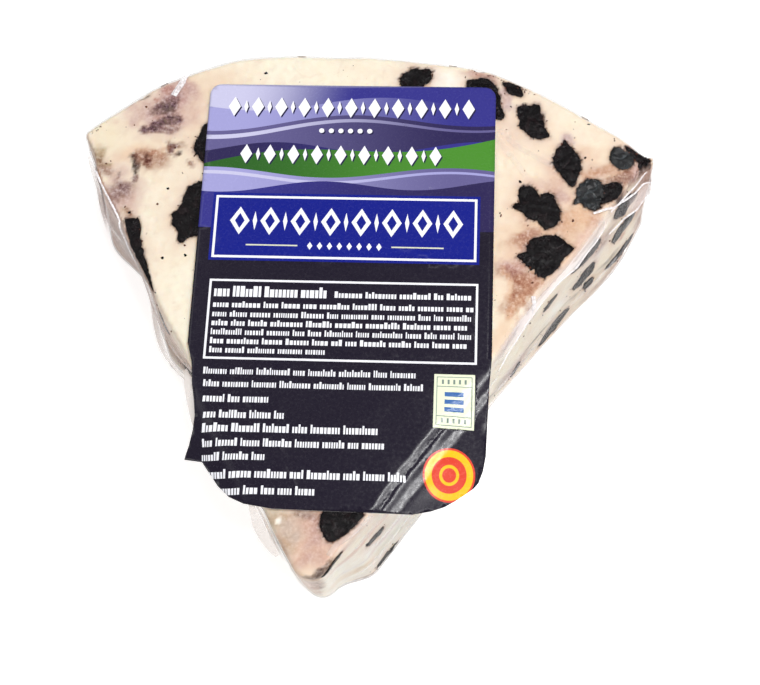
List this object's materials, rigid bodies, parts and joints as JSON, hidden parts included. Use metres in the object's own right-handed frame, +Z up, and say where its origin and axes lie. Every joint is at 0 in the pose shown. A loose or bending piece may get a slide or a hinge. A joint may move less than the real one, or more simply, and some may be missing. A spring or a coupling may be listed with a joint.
{
  "type": "wedge of white cheese with blueberries in clear film",
  "caption": "Flat sector-shaped wedge of creamy white cheese studded with dark blueberries, sealed tight in clear film, with a dark printed label across its top.",
  "frame": {"origin": "centre of the part's bounding box on the surface that it lies on", "axes": "+Z up through the thickness of the wedge, +Y from its point towards its round side, +X across it to the right as seen in the picture"},
  "size_m": [0.121, 0.1136, 0.0286],
  "materials": {
    "cheese": "moist creamy paste with purple stains, under clear glossy film",
    "berry": "wrinkled near-black dried berry skin, moist",
    "label": "coated paper, dark violet and aubergine print, satin gloss",
    "film": "clear glossy packing film with creases"
  },
  "bodies": {
    "root": {"berry_left_01": "berry", "berry_left_02": "berry", "berry_left_03": "berry", "berry_left_04": "berry", "berry_left_05": "berry", "berry_left_06": "berry", "berry_right_01": "berry", "berry_right_02": "berry", "berry_right_03": "berry", "berry_right_04": "berry", "berry_right_05": "berry", "berry_right_06": "berry", "berry_right_07": "berry", "berry_right_08": "berry", "berry_right_09": "berry", "berry_right_10": "berry", "berry_right_11": "berry", "berry_right_12": "berry", "berry_rind_01": "berry", "berry_rind_02": "berry", "berry_rind_03": "berry", "berry_rind_04": "berry", "berry_rind_05": "berry", "berry_rind_06": "berry", "berry_rind_07": "berry", "berry_rind_08": "berry", "berry_top_01": "berry", "berry_top_02": "berry", "berry_top_03": "berry", "berry_top_04": "berry", "berry_top_05": "berry", "berry_top_06": "berry", "berry_top_07": "berry", "berry_top_08": "berry", "berry_top_09": "berry", "berry_top_10": "berry", "berry_top_11": "berry", "berry_top_12": "berry", "berry_top_13": "berry", "berry_top_14": "berry", "berry_top_15": "berry", "film_fin_left": "film", "film_fin_right": "film", "film_fin_tip": "film", "label": "label", "wrapped_cheese": "cheese"}
  },
  "joints": []
}
